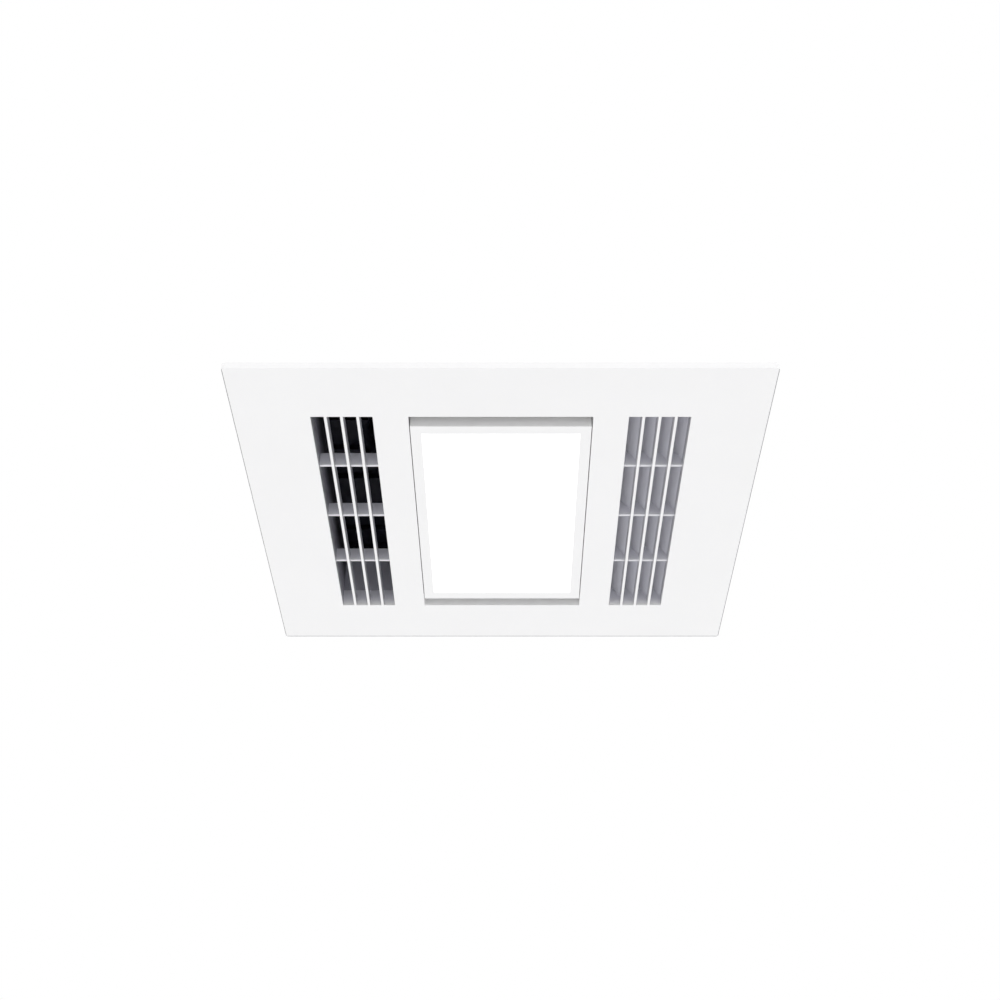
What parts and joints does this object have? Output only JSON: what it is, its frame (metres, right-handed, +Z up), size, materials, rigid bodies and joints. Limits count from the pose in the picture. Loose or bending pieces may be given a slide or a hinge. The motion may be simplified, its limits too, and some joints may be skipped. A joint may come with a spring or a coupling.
{
  "type": "bathroom ceiling heater",
  "caption": "Square ceiling unit with a white grilled fascia round a light panel, a fan heater, and an exhaust blower with a round duct collar.",
  "frame": {"origin": "middle of the ceiling opening, in the plane of the ceiling's underside, where the housing's flange rests", "axes": "+Z up into the ceiling; the fascia's grilles run along Y, intake on the -X side, warm air outlet on the +X side, duct collar on the +Y side"},
  "size_m": [0.4, 0.4145, 0.2097],
  "materials": {
    "white_plastic": "satin moulded",
    "lit_acrylic": "opal diffuser",
    "clear_acrylic": "polished clear",
    "grey_foam": "closed-cell foam",
    "light_board": "white solder mask",
    "galvanised_steel": "galvanised sheet",
    "spring_steel": "plain spring steel",
    "zinc_screw": "bright zinc plated",
    "black_plastic": "fine moulded texture",
    "aluminium": "mill",
    "heater_frame": "heat-proof moulding",
    "sintered_bronze": "sintered",
    "painted_motor": "grey paint",
    "grey_plastic": "moulded",
    "cream_plastic": "moulded",
    "lead_sheath": "smooth sheath"
  },
  "bodies": {
    "housing": {"housing": "galvanised_steel", "partition": "galvanised_steel", "intake_liner": "grey_plastic", "catch_clip_1": "spring_steel", "catch_clip_2": "spring_steel", "catch_clip_3": "spring_steel", "catch_clip_4": "spring_steel", "blower_base": "black_plastic", "blower_scroll": "black_plastic", "blower_cover": "galvanised_steel", "exhaust_motor": "galvanised_steel", "duct_adapter": "black_plastic", "duct_screw_1": "zinc_screw", "duct_screw_2": "zinc_screw", "duct_screw_3": "zinc_screw", "duct_screw_4": "zinc_screw", "damper_pin": "spring_steel", "outlet_duct": "galvanised_steel", "ptc_frame": "heater_frame", "ptc_bar": "aluminium", "ptc_fins_1": "aluminium", "ptc_fins_2": "aluminium", "thermal_cutout": "grey_plastic", "heater_scroll": "galvanised_steel", "heater_tongue": "galvanised_steel", "heater_end_near": "galvanised_steel", "heater_end_far": "galvanised_steel", "bearing_bush": "sintered_bronze", "heater_motor": "painted_motor", "led_driver": "cream_plastic", "run_capacitor": "grey_plastic", "led_socket": "cream_plastic", "terminal_box": "galvanised_steel", "terminal_cover": "galvanised_steel", "cover_screw_1": "zinc_screw", "cover_screw_2": "zinc_screw", "terminal_block": "cream_plastic", "cable_gland": "black_plastic", "earth_screw": "zinc_screw", "exhaust_lead": "lead_sheath", "heater_lead": "lead_sheath", "light_lead": "lead_sheath"},
    "fascia": {"fascia": "white_plastic", "fascia_seal": "grey_foam", "led_bezel": "white_plastic", "led_diffuser": "lit_acrylic", "light_guide": "clear_acrylic", "reflector_sheet": "white_plastic", "led_strip_left": "light_board", "led_strip_right": "light_board", "led_back_plate": "galvanised_steel", "led_screw_1": "zinc_screw", "led_screw_2": "zinc_screw", "led_screw_3": "zinc_screw", "led_screw_4": "zinc_screw", "led_plug": "cream_plastic"},
    "exhaust_fan": {"exhaust_impeller": "grey_plastic", "exhaust_shaft": "spring_steel"},
    "heater_fan": {"heater_wheel": "aluminium"},
    "damper": {"damper_flap": "black_plastic"}
  },
  "joints": [
    {"name": "fascia_drop", "type": "slide", "parent": "housing", "child": "fascia", "axis": [0, 0, -1], "range_m": [0, 0.045]},
    {"name": "exhaust_spin", "type": "hinge", "parent": "housing", "child": "exhaust_fan", "pos_m": [-0.062, -0.03, 0.112], "axis": [0, 0, 1], "continuous": true},
    {"name": "heater_spin", "type": "hinge", "parent": "housing", "child": "heater_fan", "pos_m": [0.10801, 0, 0.112], "axis": [0, 1, 0], "continuous": true},
    {"name": "damper_swing", "type": "hinge", "parent": "housing", "child": "damper", "pos_m": [-0.104, 0.1975, 0.1014], "axis": [1, 0, 0], "range_deg": [0, 80]}
  ]
}
